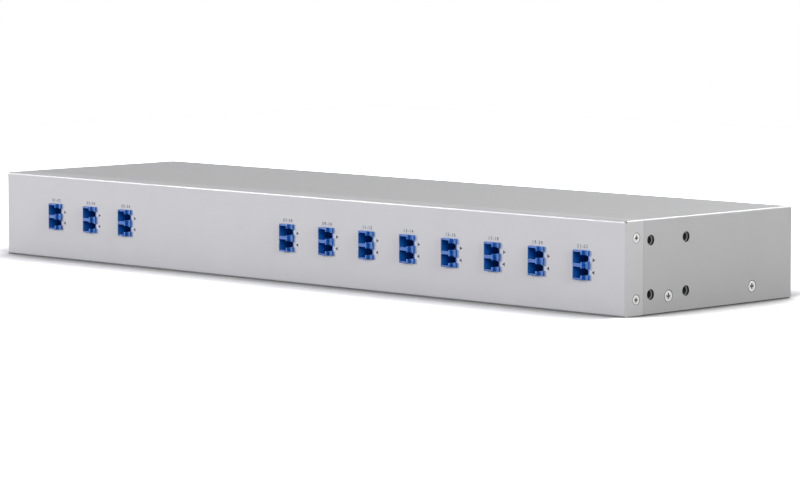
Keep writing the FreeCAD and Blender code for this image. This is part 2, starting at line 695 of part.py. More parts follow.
def sub_parts():
    """Every sub-part by name, each as a list of solids."""
    nodes = {
        "front_panel": [front_panel()],
        "shell": [shell()],
        "base_plate": [base_plate()],
        "panel_bracket_right": [panel_bracket(1)],
        "panel_bracket_left": [panel_bracket(-1)],
        "ear_nuts_right": ear_nuts(1),
        "ear_nuts_left": ear_nuts(-1),
        "panel_screws": panel_screws(),
        "base_screws": base_screws(),
        "module_shelf": [module_shelf()],
        "foam_pads": foam_pads(),
        "fibre_combs": fibre_combs(),
    }
    for number, x in enumerate(LINE_X + CHANNEL_X, start=1):
        nodes[f"lc_adapter_{number:02d}"] = [lc_adapter(x)]
    nodes["adapter_backs"] = [adapter_back(x) for x in LINE_X + CHANNEL_X]
    nodes["adapter_clips"] = [adapter_clip(x) for x in LINE_X + CHANNEL_X]
    sleeves = []
    for name, base_z, fibre_z in (("mux", MUX_Z, UPPER_Z), ("demux", DEMUX_Z, LOWER_Z)):
        places = [(port_x(x), lane, side) for x, lane, side in pigtail_places()]
        sleeves += [split_sleeve(x, fibre_z) for x, lane, side in places]
        nodes[f"{name}_ferrules"] = [ferrule(x, fibre_z) for x, lane, side in places]
        nodes[f"{name}_plugs"] = [plug(x, fibre_z) for x, lane, side in places]
        nodes[f"{name}_boots"] = [boot(x, fibre_z) for x, lane, side in places]
        nodes[f"{name}_fibres"] = [fibre(x, fibre_z, lane, side) for x, lane, side in places]
        nodes[f"{name}_case"] = [module_case(base_z, fibre_z)]
        nodes[f"{name}_lid"] = [module_lid(base_z)]
        nodes[f"{name}_filters"] = filters(base_z)
        nodes[f"{name}_fibre_coil"] = [fibre_coil(base_z)]
    nodes["split_sleeves"] = sleeves
    return nodes


def main():
    os.makedirs("parts", exist_ok=True)
    for name, solids in sub_parts().items():
        shape = solids[0] if len(solids) == 1 else Part.makeCompound(solids)
        shape.translate(FreeCAD.Vector(0, FRONT_Y, 0))
        shape.exportStep(f"parts/{name}.step")


main()
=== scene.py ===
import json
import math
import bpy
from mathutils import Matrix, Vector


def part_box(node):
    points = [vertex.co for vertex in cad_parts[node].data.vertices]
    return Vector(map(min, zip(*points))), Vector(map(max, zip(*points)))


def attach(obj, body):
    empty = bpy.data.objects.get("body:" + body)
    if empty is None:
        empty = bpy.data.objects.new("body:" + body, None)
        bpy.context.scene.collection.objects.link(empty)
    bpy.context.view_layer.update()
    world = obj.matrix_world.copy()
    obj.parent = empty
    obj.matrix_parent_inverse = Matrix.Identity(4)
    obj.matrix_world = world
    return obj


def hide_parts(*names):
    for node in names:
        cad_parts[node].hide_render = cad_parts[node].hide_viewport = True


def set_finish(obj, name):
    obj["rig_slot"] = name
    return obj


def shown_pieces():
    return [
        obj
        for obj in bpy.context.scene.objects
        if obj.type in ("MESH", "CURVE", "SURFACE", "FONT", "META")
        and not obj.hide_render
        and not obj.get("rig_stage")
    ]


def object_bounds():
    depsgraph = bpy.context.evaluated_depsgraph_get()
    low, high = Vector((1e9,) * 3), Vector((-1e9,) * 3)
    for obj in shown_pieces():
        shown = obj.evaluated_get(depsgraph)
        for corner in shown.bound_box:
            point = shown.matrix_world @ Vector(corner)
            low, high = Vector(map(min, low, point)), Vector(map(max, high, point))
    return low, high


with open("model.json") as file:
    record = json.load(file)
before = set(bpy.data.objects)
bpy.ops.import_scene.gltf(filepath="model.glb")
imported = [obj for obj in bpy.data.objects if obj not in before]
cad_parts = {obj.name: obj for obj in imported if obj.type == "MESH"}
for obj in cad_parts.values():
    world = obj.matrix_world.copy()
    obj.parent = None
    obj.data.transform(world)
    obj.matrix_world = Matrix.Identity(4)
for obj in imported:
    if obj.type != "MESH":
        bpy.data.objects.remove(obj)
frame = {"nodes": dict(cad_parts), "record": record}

# %% [markdown]
# # A rack-mount wavelength multiplexer
# The object is a flat enclosure of folded steel sheet, one rack unit high, with a row of blue
# duplex fibre adapters in its front panel. The solids already have the right sizes, so every
# piece below starts from a node's own box. Lengths are in metres, written in millimetres times MM.

MM = 0.001
cad_low, cad_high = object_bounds()


def in_mm(lengths):
    """Lengths in millimetres, rounded for printing."""
    return [round(length / MM, 2) for length in lengths]


print("solids, mm:", in_mm(cad_high - cad_low))

# %% [markdown]
# ## A few habits of hand modelling
# Every piece starts from a cube, a cone or a rod of the right size. A primitive could be added at
# unit size and scaled afterwards, but adding it between two known points needs no second step. Its
# place is then applied, so that the mesh holds it and the object itself stays at the origin.

# %% Starting a piece
ROUND_SIDES = 48


def alone(piece):
    """One piece selected and active, in object mode."""
    if bpy.context.mode != "OBJECT":
        bpy.ops.object.mode_set(mode="OBJECT")
    bpy.ops.object.select_all(action="DESELECT")
    bpy.context.view_layer.objects.active = piece
    piece.select_set(True)


def named(name):
    """The piece just added, under its own name, with its place in its mesh."""
    piece = bpy.context.object
    piece.name = piece.data.name = name
    bpy.ops.object.transform_apply(location=True, rotation=True, scale=True)
    return piece


def start_cube(name, low, high):
    """A cube stretched between two corners."""
    bpy.ops.object.select_all(action="DESELECT")
    low, high = Vector(low), Vector(high)
    bpy.ops.mesh.primitive_cube_add(size=1, location=(low + high) / 2, scale=high - low)
    return named(name)


def start_cone(name, base, tip, base_r, tip_r, sides=ROUND_SIDES):
    """A cone from one point to another."""
    bpy.ops.object.select_all(action="DESELECT")
    base, tip = Vector(base), Vector(tip)
    turn = (tip - base).to_track_quat("Z", "Y").to_euler()
    bpy.ops.mesh.primitive_cone_add(
        vertices=sides, radius1=base_r, radius2=tip_r, depth=(tip - base).length,
        location=(base + tip) / 2, rotation=turn,
    )
    return named(name)


def start_rod(name, base, tip, radius, sides=ROUND_SIDES):
    """A cylinder from one point to another."""
    return start_cone(name, base, tip, radius, radius, sides)


# %% [markdown]
# By hand, one clicks a face or an edge, and then extrudes or bevels it. A script has no mouse, so
# it picks by place: every corner of the face or edge has to lie at the coordinates asked for. That
# keeps working when sizes change, which counting face numbers would not.

# %% Picking faces and edges by place
NEAR = 0.01 * MM
HAIR = 0.001 * MM
EVERYWHERE = {}


def lies_at(points, place):
    """True if every point has the coordinates that a place names."""
    return all(
        abs(point["xyz".index(axis)] - value) < NEAR
        for point in points for axis, value in place.items()
    )


def pick(piece, kind, *places, where=lambda middle: True):
    """Edit mode, with the faces or edges selected that lie wholly at any of the places."""
    alone(piece)
    bpy.ops.object.mode_set(mode="EDIT")
    bpy.ops.mesh.select_mode(type=kind)
    bpy.ops.mesh.select_all(action="DESELECT")
    bpy.ops.object.mode_set(mode="OBJECT")
    mesh = piece.data
    parts = mesh.polygons if kind == "FACE" else mesh.edges
    chosen = 0
    for part in parts:
        corners = [mesh.vertices[i].co for i in part.vertices]
        middle = sum(corners, Vector()) / len(corners)
        part.select = any(lies_at(corners, place) for place in places) and where(middle)
        chosen += part.select
    bpy.ops.object.mode_set(mode="EDIT")
    return chosen


# %% [markdown]
# Modifiers do the rest: Solidify gives sheet its thickness, Boolean cuts holes, Bevel takes the
# razor edge off. They could stay live, to be changed later. Here each one is applied straight away,
# so the finished piece is a plain mesh and the next tool meets real edges.

# %% Applying modifiers, cutting and softening
SOFT_ANGLE = math.radians(35)


def finish_with(piece, kind, **settings):
    """Adds one modifier, sets it and applies it."""
    alone(piece)
    modifier = piece.modifiers.new(kind.lower(), kind)
    for name, value in settings.items():
        setattr(modifier, name, value)
    bpy.ops.object.modifier_apply(modifier=modifier.name)


def combine(piece, tool, operation):
    """Cuts a tool out of a piece or adds it, and throws the tool away."""
    finish_with(piece, "BOOLEAN", object=tool, operation=operation, solver="EXACT")
    bpy.data.objects.remove(tool)


def cut(piece, tools):
    """Cuts each of several tools out of a piece."""
    for tool in tools:
        combine(piece, tool, "DIFFERENCE")


def softened(piece, width, segments=2):
    """Rounds off the sharp edges a little and shades the piece smooth between them."""
    alone(piece)
    bpy.ops.object.mode_set(mode="EDIT")
    bpy.ops.mesh.select_all(action="SELECT")
    bpy.ops.mesh.remove_doubles(threshold=HAIR)
    bpy.ops.object.mode_set(mode="OBJECT")
    finish_with(
        piece, "BEVEL", width=width, segments=segments, limit_method="ANGLE",
        angle_limit=SOFT_ANGLE, use_clamp_overlap=True,
    )
    bpy.ops.object.shade_smooth_by_angle(angle=SOFT_ANGLE)
    finish_with(piece, "WEIGHTED_NORMAL", keep_sharp=True)


# %% [markdown]
# What repeats on the object is modelled once. A linked copy would share one mesh, but then it could
# not have its own place in it, so each copy gets a mesh of its own and is moved there by a matrix.
# A finished piece says which finish it takes and which solids it stands for.

# %% Copying, joining and placing
def moved_copy(piece, name, move):
    """A copy with its own mesh, moved or turned by a matrix."""
    twin = piece.copy()
    twin.data = piece.data.copy()
    twin.name = twin.data.name = name
    twin.data.transform(move)
    bpy.context.scene.collection.objects.link(twin)
    return twin


def joined(name, pieces):
    """Several pieces as one object."""
    alone(pieces[0])
    for piece in pieces:
        piece.select_set(True)
    bpy.ops.object.join()
    return named(name)


def placed(piece, slot, *nodes):
    """The piece rides on the object, takes a finish and stands for its solids."""
    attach(piece, "root")
    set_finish(piece, slot)
    if nodes:
        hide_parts(*nodes)
    print(piece.name, "triangles:", sum(len(p.vertices) - 2 for p in piece.data.polygons))


# %% [markdown]
# ## Sizes taken from the solids
# The panel's box gives the width, the height and the front face. The adapters' boxes give their
# places in the row. Hole and screw places are measured from the front face and the underside.

# %% Reading the frame
panel_low, panel_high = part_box("front_panel")
shell_low, shell_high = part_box("shell")
FRONT = panel_low.y
SIDE = panel_high.x
TOP = panel_high.z
SHEET = 1.2 * MM
BEND = 1.1 * MM
BEND_STEPS = 6
PAINT = 0.1 * MM
PAST = 1 * MM
adapters = sorted(name for name in frame["nodes"] if name.startswith("lc_adapter"))
adapter_x = {name: sum(c.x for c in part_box(name)) / 2 for name in adapters}
RIM_LOW, RIM_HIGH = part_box(adapters[0])
print(len(adapters), "adapters, mm:", in_mm(adapter_x.values()))

# %% [markdown]
# ## The front panel
# On the real object this is one sheet, folded back on all four sides to make a shallow pan. It
# could be built up from flat plates, but their corners would then have to be fitted to each other.
# By hand it is quickest to start from a closed cube, take the open side away, round the folds and
# only then give the sheet its thickness: inner and outer bends then stay parallel by themselves.
# Paint gathers on cut edges, so the edge that meets the shell stands a tenth of a millimetre out.

# %% Folding the pan
def fold_sheet(piece, open_sides, folds):
    """Takes the open sides off a cube, rounds its folds and gives the sheet its thickness."""
    pick(piece, "FACE", *open_sides)
    bpy.ops.mesh.delete(type="FACE")
    print(piece.name, "folds:", pick(piece, "EDGE", *folds))
    bpy.ops.mesh.bevel(offset=BEND, segments=BEND_STEPS, affect="EDGES")
    finish_with(piece, "SOLIDIFY", thickness=SHEET, offset=-1, use_even_offset=True)


pan_edge = panel_high.y + PAINT
pan = start_cube("panel_pan", panel_low, (SIDE, pan_edge, TOP))
folds = [dict(y=FRONT, z=0), dict(y=FRONT, z=TOP)]
for side in (SIDE, -SIDE):
    folds += [dict(x=side, y=FRONT), dict(x=side, z=TOP)]
fold_sheet(pan, [dict(y=pan_edge)], folds)

# %% [markdown]
# The adapters sit in square cut-outs, a little smaller than their rims. Insetting a face and deleting
# it could give such a hole, but a Boolean tool also cuts round ones, so all holes are made in one way.
# The boxes are joined first, because one cut with all of them is quicker than one cut for each.

# %% Cut-outs for the adapters
CUTOUT_INSET = 0.15 * MM
half = (RIM_HIGH.x - RIM_LOW.x) / 2 - CUTOUT_INSET
tools = []
for x in adapter_x.values():
    low = (x - half, FRONT - PAST, RIM_LOW.z + CUTOUT_INSET)
    high = (x + half, FRONT + SHEET + PAST, RIM_HIGH.z - CUTOUT_INSET)
    tools.append(start_cube("cutout", low, high))
print(len(tools), "cut-outs, mm wide:", in_mm([2 * half]))
cut(pan, [joined("cutouts", tools)])

# %% [markdown]
# A countersunk screw needs a conical seat with a hole for its shank. A cone and a thin rod, set on
# one axis, cut both. They are kept as a function, because the shell has such seats too.

# %% The seat of a countersunk screw
SEAT_PAST = 0.6 * MM
DRILL_DEPTH = 5 * SHEET


def seat_tools(side, y, z, head_r, shank_r):
    """A cone and a drill, which together cut a countersunk screw's seat in a side wall."""
    out = math.copysign(1, side)
    mouth = Vector((side + out * SEAT_PAST, FRONT + y, z))
    neck = Vector((side - out * (head_r - shank_r), FRONT + y, z))
    cone = start_cone("seat", mouth, neck, head_r + SEAT_PAST, shank_r)
    drill_start = neck + Vector((out * PAST, 0, 0))
    drill_end = neck - Vector((out * DRILL_DEPTH, 0, 0))
    return [cone, start_rod("drill", drill_start, drill_end, shank_r)]


# %% [markdown]
# At the two upper front corners, where three folds meet, the maker drills a small relief hole so that
# the sheet doesn't tear. It shows as a dark dot. The side returns end a little above the ground, as
# the side walls do, and each takes two screws. At the end every cut edge is softened by a few
# hundredths of a millimetre, so that it catches light as painted sheet does.

# %% Reliefs, feet and screw seats of the pan
RELIEF_R = 0.6 * MM
RELIEF_SIDES = 16
SHEET_EDGE = 0.05 * MM
PANEL_SCREWS = [(7.3 * MM, 7.6 * MM), (7.3 * MM, 35.9 * MM)]
PANEL_SEAT = dict(head_r=2.55 * MM, shank_r=1.25 * MM)
for side in (SIDE, -SIDE):
    out = math.copysign(1, side)
    corner = (side, FRONT, TOP)
    within = (side - out * BEND, FRONT + BEND, TOP - BEND)
    cut(pan, [start_rod("relief", corner, within, RELIEF_R, RELIEF_SIDES)])
    foot_x = sorted((side - out * SHEET, side + out * PAST))
    foot_low = (foot_x[0], FRONT + BEND, -PAST)
    foot_high = (foot_x[1], pan_edge + PAST, shell_low.z)
    cut(pan, [start_cube("foot_step", foot_low, foot_high)])
    for y, z in PANEL_SCREWS:
        cut(pan, seat_tools(side, y, z, **PANEL_SEAT))
softened(pan, SHEET_EDGE)
placed(pan, "panel_paint", "front_panel")

# %% [markdown]
# ## The shell
# Top, sides and rear are a second sheet. It could be bent up from a flat blank with a hinge at each
# fold, as the maker's press does it, but the pan's way is shorter: a cube without its front and
# its underside, with three rounded folds.

# %% Folding the shell
hood_edge = shell_low.y - PAINT
hood = start_cube("shell_hood", (-SIDE, hood_edge, shell_low.z), shell_high)
folds = [dict(x=SIDE, z=TOP), dict(x=-SIDE, z=TOP), dict(y=shell_high.y, z=TOP)]
fold_sheet(hood, [dict(y=hood_edge), dict(z=shell_low.z)], folds)

# %% [markdown]
# The rear flap is folded down between the sides, so a thin seam stays open at each rear corner and
# ends in a round relief hole below the fold. Each side wall has four holes for a rack ear and the
# seats of two screws. All are cut through, because a dark disc would show no depth from the side.

# %% Drilling the shell
SEAM = 0.3 * MM
EAR_HOLE_R = 2.5 * MM
EAR_FIRST = (17.2 * MM, 9.3 * MM)
EAR_STEPS = (0, 25 * MM)
BASE_SCREWS = [(30 * MM, 7.7 * MM), (90.7 * MM, 7.7 * MM)]
BASE_SEAT = dict(head_r=3.0 * MM, shank_r=1.5 * MM)
ear_holes = [(EAR_FIRST[0] + dy, EAR_FIRST[1] + dz) for dy in EAR_STEPS for dz in EAR_STEPS]
rear_in = shell_high.y - SHEET - PAST
rear_out = shell_high.y + PAST
seam_top = TOP - 2 * BEND
for side in (SIDE, -SIDE):
    out = math.copysign(1, side)
    seam_x = sorted((side - out * SHEET, side - out * (SHEET + SEAM)))
    cut(hood, [start_cube("seam", (seam_x[0], rear_in, -PAST), (seam_x[1], rear_out, seam_top))])
    end_x = sum(seam_x) / 2
    seam_end = (end_x, rear_in, seam_top), (end_x, rear_out, seam_top)
    cut(hood, [start_rod("seam_end", *seam_end, RELIEF_R, RELIEF_SIDES)])
    through = Vector((out * 2 * SHEET, 0, 0))
    for y, z in ear_holes:
        middle = Vector((side, FRONT + y, z))
        cut(hood, [start_rod("ear_hole", middle - through, middle + through, EAR_HOLE_R)])
    for y, z in BASE_SCREWS:
        cut(hood, seat_tools(side, y, z, **BASE_SEAT))
softened(hood, SHEET_EDGE)
placed(hood, "shell_paint", "shell")

# %% [markdown]
# ## The duplex adapter
# Each adapter is a blue moulding with two square ports, one above the other, and a thin rim that
# hides the edge of its cut-out. The rim could be a second block, but extruded from the body's own
# faces it is one skin with it. Its front edges are rounded, as a mould leaves them.

# %% Blocking out one adapter
RIM_LIP = 0.2 * MM
RIM_ROUND = 0.25 * MM
RIM_STEPS = 3
lip = Vector((RIM_LIP, 0, RIM_LIP))
body_low = RIM_LOW + lip
body_high = RIM_HIGH - lip
moulding = start_cube("adapter_moulding", body_low, body_high)
pick(moulding, "FACE", EVERYWHERE)
bpy.ops.mesh.bisect(plane_co=(0, FRONT, 0), plane_no=(0, 1, 0))
rim_faces = [dict(x=body_low.x), dict(x=body_high.x), dict(z=body_low.z), dict(z=body_high.z)]
pick(moulding, "FACE", *rim_faces, where=lambda middle: middle.y < FRONT)
bpy.ops.mesh.extrude_region_shrink_fatten(
    TRANSFORM_OT_shrink_fatten={"value": RIM_LIP, "use_even_offset": True},
)
bpy.ops.object.mode_set(mode="OBJECT")
pick(moulding, "FACE", dict(y=RIM_LOW.y))
bpy.ops.mesh.dissolve_faces()
pick(moulding, "EDGE", dict(y=RIM_LOW.y))
bpy.ops.mesh.bevel(offset=RIM_ROUND, segments=RIM_STEPS, affect="EDGES")
bpy.ops.object.mode_set(mode="OBJECT")
print("rim, mm:", in_mm(moulding.dimensions))

# %% [markdown]
# The mouth of each port widens to lead a plug in. Right of it is a slot for the plug's latch, and
# there the front is stepped back and notched. Extruding each pocket inwards would need an outline
# drawn on the face first, so overlapping boxes are cut out instead. First their places, from left to
# right and from the mouth inwards.

# %% Where the ports, slots, steps and notches lie
PORT = 4.6 * MM
PORT_PITCH = 6.2 * MM
LEAD_IN = 0.65 * MM
LEAD_DEPTH = 3.0 * MM
FLAT_WALL = 0.3 * MM
SLOT_W = 3.3 * MM
SLOT_D = 3.0 * MM
STEP_START = 0.75 * MM
STEP = 1.3 * MM
WALL_STEP = 0.8 * MM
NOTCH_W = 2.6 * MM
PARTITION = 1.2 * MM
port_left = body_low.x + FLAT_WALL
port_mid = port_left + PORT / 2
slot_left = port_left + PORT
slot_right = slot_left + SLOT_D
step_x = slot_left + STEP_START
beyond = RIM_HIGH.x + PAST
mouth = RIM_LOW.y
before = mouth - PAST
partition_y = RIM_HIGH.y - PARTITION
middle_z = (RIM_LOW.z + RIM_HIGH.z) / 2
print("port, slot and step start, mm:", in_mm(x - RIM_LOW.x for x in (port_left, slot_left, step_x)))

# %% [markdown]
# The two ports mirror each other about the middle of the moulding, so one loop makes the tools of
# both. A round bore behind each port holds a sleeve.

# %% Cutting the ports, slots, steps and notches
BORE_R = 0.85 * MM
SLEEVE_SIDES = 24
MOULD_EDGE = 0.1 * MM
tools = [
    start_cube("step", (step_x, before, 0), (slot_right, mouth + STEP, TOP)),
    start_cube("wall_step", (slot_right, before, 0), (beyond, mouth + WALL_STEP, TOP)),
]
for out in (1, -1):
    z = middle_z + out * PORT_PITCH / 2
    lead_z = sorted((z, z + out * (PORT / 2 + LEAD_IN)))
    pockets = [
        ((port_left, before, z - PORT / 2), (slot_left, partition_y, z + PORT / 2)),
        ((port_left, before, lead_z[0]), (slot_left, mouth + LEAD_DEPTH, lead_z[1])),
        ((slot_left - PAST, before, z - SLOT_W / 2), (slot_right, partition_y, z + SLOT_W / 2)),
        ((slot_right - PAST, before, z - NOTCH_W / 2), (beyond, FRONT, z + NOTCH_W / 2)),
    ]
    tools += [start_cube("pocket", *corners) for corners in pockets]
    bore = (port_mid, partition_y - PAST, z), (port_mid, RIM_HIGH.y + PAST, z)
    tools.append(start_rod("bore", *bore, BORE_R, SLEEVE_SIDES))
print(len(tools), "tools for one adapter")
cut(moulding, tools)
softened(moulding, MOULD_EDGE)

# %% [markdown]
# The finished moulding is copied along the row. An Array modifier would space the copies evenly, but
# the row has a gap, so each copy goes to the place that its own solid has.

# %% The row of adapters
first_x = adapter_x[adapters[0]]
for name in adapters:
    along_row = Matrix.Translation((adapter_x[name] - first_x, 0, 0))
    placed(moved_copy(moulding, name + "_moulding", along_row), "adapter_blue", name)
bpy.data.objects.remove(moulding)

# %% [markdown]
# A ceramic sleeve stands in the middle of each port and lines up two ferrules. It is a tube with a
# slit along its length. A thick tube could be cut by a thin box, but it is simpler to start from a
# cylinder without its ends, take one strip of faces away, and then thicken what is left.

# %% Split sleeves
SLEEVE_LENGTH = 6.8 * MM
SLEEVE_R = 0.82 * MM
SLEEVE_WALL = 0.17 * MM


def split_sleeve(x, z):
    """A slit tube across the adapter's partition."""
    half = Vector((0, SLEEVE_LENGTH / 2, 0))
    centre = Vector((x, partition_y + PARTITION / 2, z))
    start, end = centre - half, centre + half
    tube = start_rod("sleeve", start, end, SLEEVE_R, SLEEVE_SIDES)
    pick(tube, "FACE", dict(y=start.y), dict(y=end.y))
    bpy.ops.mesh.delete(type="FACE")
    bpy.ops.object.mode_set(mode="OBJECT")
    top = max(face.center.z for face in tube.data.polygons)
    pick(tube, "FACE", EVERYWHERE, where=lambda middle: middle.z > top - HAIR)
    bpy.ops.mesh.delete(type="FACE")
    finish_with(tube, "SOLIDIFY", thickness=SLEEVE_WALL, offset=-1)
    bpy.ops.object.shade_smooth_by_angle(angle=SOFT_ANGLE)
    return tube


sleeve = split_sleeve(port_mid, middle_z)
sleeves = []
for x in adapter_x.values():
    for dz in (PORT_PITCH / 2, -PORT_PITCH / 2):
        place = Matrix.Translation((x - first_x, 0, dz))
        sleeves.append(moved_copy(sleeve, "sleeve_copy", place))
bpy.data.objects.remove(sleeve)
placed(joined("ceramic_sleeves", sleeves), "ceramic", "split_sleeves")

# %% [markdown]
# ## Screws
# The side screws are countersunk, with a cross recess. A profile could be spun round the axis, but
# a cone already is the head, and its small end extruded is the shank. Two tapered bars cut the
# cross. Its sizes are shares of the head's radius, so both sizes of screw come from one function.

# %% One countersunk screw, made at the origin with its axis along X
RECESS_SPAN = 1.4
RECESS_WIDTH = 0.42
RECESS_DEPTH = 0.95
RECESS_FLOOR = 0.5
RECESS_TAPER = 0.7
HEAD_EDGE = 0.04 * MM
PANEL_SCREW = dict(head_r=2.22 * MM, shank_r=1.2 * MM, length=4.8 * MM)
BASE_SCREW = dict(head_r=2.62 * MM, shank_r=1.45 * MM, length=5.8 * MM)


def cross_bar(head_r, turn):
    """One tapered bar of the cross recess."""
    depth = RECESS_DEPTH * head_r
    half = Vector((depth, RECESS_SPAN * head_r / 2, RECESS_WIDTH * head_r / 2))
    bar = start_cube("bar", -half, half)
    pick(bar, "FACE", dict(x=-depth))
    bpy.ops.transform.resize(value=(1, RECESS_FLOOR, RECESS_TAPER), center_override=(-depth, 0, 0))
    bpy.ops.object.mode_set(mode="OBJECT")
    bar.data.transform(Matrix.Rotation(turn, 4, "X"))
    return bar


def cross_screw(name, head_r, shank_r, length):
    """A countersunk screw whose head's face lies at x = 0."""
    neck = -(head_r - shank_r)
    screw = start_cone(name, (0, 0, 0), (neck, 0, 0), head_r, shank_r)
    pick(screw, "FACE", dict(x=neck))
    bpy.ops.mesh.extrude_region_move(TRANSFORM_OT_translate={"value": (-length - neck, 0, 0)})
    bpy.ops.object.mode_set(mode="OBJECT")
    cut(screw, [cross_bar(head_r, turn) for turn in (0, math.pi / 2)])
    softened(screw, HEAD_EDGE)
    return screw


panel_screw = cross_screw("panel_screw", **PANEL_SCREW)
base_screw = cross_screw("base_screw", **BASE_SCREW)
print("screw heads, mm:", in_mm([PANEL_SCREW["head_r"], BASE_SCREW["head_r"]]))

# %% [markdown]
# A driver stops where the screw is tight, so no two crosses stand alike. Each copy is therefore
# turned a little before it goes into its wall. Random turns would do as well, but a rule gives the
# same turns on every run.

# %% Setting the screws in both walls
SINK = 0.12 * MM
TURN_STEP = 7
TURN_SIDE = 3


def in_wall(side, depth, y, z):
    """Takes a piece made along X at the origin to its place in the right or left wall."""
    face = Matrix.Rotation(0 if side > 0 else math.pi, 4, "Z")
    return Matrix.Translation((side * (SIDE - depth), FRONT + y, z)) @ face


def set_screws(name, screw, places, node):
    """Copies of a screw in both side walls, each stopped at a slightly different turn."""
    copies = []
    for side in (1, -1):
        for number, (y, z) in enumerate(places):
            degrees = TURN_STEP * number - TURN_SIDE * side
            turn = Matrix.Rotation(math.radians(degrees), 4, "X")
            copies.append(moved_copy(screw, "screw_copy", in_wall(side, SINK, y, z) @ turn))
    bpy.data.objects.remove(screw)
    placed(joined(name, copies), "screw_steel", node)


set_screws("panel_cross_screws", panel_screw, PANEL_SCREWS, "panel_screws")
set_screws("base_cross_screws", base_screw, BASE_SCREWS, "base_screws")

# %% [markdown]
# ## Tapped nuts
# Behind the four larger holes on each side are nuts, whose round collars are pressed into the
# sheet. A thread could be a true helix, made with the Screw modifier. At this size rings look the
# same, so a rod grows ring by ring, wide and narrow in turn, and taps the nut as a Boolean tool.

# %% A tool for the thread, made at the origin with its axis along X
NUT_T = 4.0 * MM
THREAD_PITCH = 0.8 * MM
THREAD_MINOR = 1.75 * MM
THREAD_MAJOR = 2.05 * MM
THREAD_SIDES = 32
MOUTH_R = 2.36 * MM
COLLAR_BACK = 0.1 * MM
COLLAR = SHEET - COLLAR_BACK


def thread_tool():
    """A rod with a plain wide mouth, whose rings then swell at every pitch."""
    rod = start_rod("tap", (COLLAR + PAST, 0, 0), (0, 0, 0), MOUTH_R, THREAD_SIDES)
    pick(rod, "FACE", dict(x=0))
    bpy.ops.mesh.inset(thickness=MOUTH_R - THREAD_MINOR)
    bpy.ops.object.mode_set(mode="OBJECT")
    x = 0.0
    crest = True
    while x > -NUT_T - PAST:
        pick(rod, "FACE", dict(x=x), where=lambda middle: middle.yz.length < THREAD_MINOR / 2)
        x -= THREAD_PITCH / 2
        bpy.ops.mesh.extrude_region_move(TRANSFORM_OT_translate={"value": (-THREAD_PITCH / 2, 0, 0)})
        grow = THREAD_MAJOR / THREAD_MINOR if crest else THREAD_MINOR / THREAD_MAJOR
        bpy.ops.transform.resize(value=(1, grow, grow), center_override=(x, 0, 0))
        bpy.ops.object.mode_set(mode="OBJECT")
        crest = not crest
    return rod


# %% [markdown]
# The nut itself is a rod with six sides. Its collar is joined to it by a Boolean union, which leaves
# one closed skin, where two meshes that only overlap would show a seam inside the hole.

# %% One tapped nut, and its copies in both walls
NUT_R = 4.6 * MM
NUT_SIDES = 6
NUT_EDGE = 0.06 * MM
COLLAR_R = 2.46 * MM
nut = start_rod("nut", (0, 0, 0), (-NUT_T, 0, 0), NUT_R, NUT_SIDES)
combine(nut, start_rod("collar", (COLLAR, 0, 0), (-PAST, 0, 0), COLLAR_R), "UNION")
cut(nut, [thread_tool()])
softened(nut, NUT_EDGE, segments=1)
for side, word in ((1, "right"), (-1, "left")):
    copies = [moved_copy(nut, "nut_copy", in_wall(side, SHEET, y, z)) for y, z in ear_holes]
    placed(joined("tapped_nuts_" + word, copies), "zinc_steel", "ear_nuts_" + word)
bpy.data.objects.remove(nut)

# %% [markdown]
# ## Print on the panel
# Small grey numbers stand above the adapters, and two arrowheads beside each one show which way
# the light runs. Ink could be painted by a mask in the paint's shader, but its edges would need a
# very fine texture. As meshes a few hundredths of a millimetre thick, text and triangles stay sharp.

# %% Port numbers
INK = 0.02 * MM
NUMBER_HEIGHT = 2.2 * MM
NUMBER_SPACING = 1.35
NUMBER_WEIGHT = 0.03 * MM
NUMBER_Z = 30.9 * MM


def on_panel(x, z):
    """Stands a flat piece upright on the panel's face."""
    return Matrix.Translation((x, FRONT - INK / 2, z)) @ Matrix.Rotation(math.radians(90), 4, "X")


def printed_number(text, x):
    """Upright text on the panel's face, as a mesh."""
    bpy.ops.object.select_all(action="DESELECT")
    bpy.ops.object.text_add()
    words = bpy.context.object.data
    words.body = text
    words.size = NUMBER_HEIGHT
    words.align_x = "CENTER"
    words.align_y = "CENTER"
    words.space_character = NUMBER_SPACING
    words.offset = NUMBER_WEIGHT
    words.extrude = INK / 2
    bpy.ops.object.convert(target="MESH")
    mark = bpy.context.object
    mark.data.transform(on_panel(x, NUMBER_Z))
    return mark


numbers = []
for count, name in enumerate(adapters):
    text = f"{2 * count + 1:02d}-{2 * count + 2:02d}"
    numbers.append(printed_number(text, adapter_x[name]))
placed(joined("port_numbers", numbers), "panel_paint")

# %% [markdown]
# An arrowhead is a cylinder with three sides, whose corners are rounded a little, because ink
# doesn't keep a sharp point.

# %% Arrowheads
ARROW_R = 1.1 * MM
ARROW_ROUND = 0.12 * MM
ARROW_STEPS = 2
ARROW_OFFSET = 6.8 * MM
ARROW_PITCH = 5.75 * MM
ARROW_DROP = 0.3 * MM


def arrowhead(x, z, way):
    """A flat triangle that points right or left."""
    bpy.ops.object.select_all(action="DESELECT")
    bpy.ops.mesh.primitive_cylinder_add(vertices=3, radius=ARROW_R, depth=INK)
    mark = bpy.context.object
    bpy.ops.object.mode_set(mode="EDIT")
    bpy.ops.mesh.select_all(action="SELECT")
    bpy.ops.mesh.bevel(offset=ARROW_ROUND, segments=ARROW_STEPS, affect="VERTICES")
    bpy.ops.object.mode_set(mode="OBJECT")
    mark.data.transform(Matrix.Rotation(math.radians(-90 * way), 4, "Z"))
    mark.data.transform(on_panel(x, z))
    return mark


arrows = []
for x in adapter_x.values():
    for way in (1, -1):
        z = middle_z - ARROW_DROP + way * ARROW_PITCH / 2
        arrows.append(arrowhead(x + ARROW_OFFSET, z, way))
placed(joined("flow_arrows", arrows), "panel_paint")

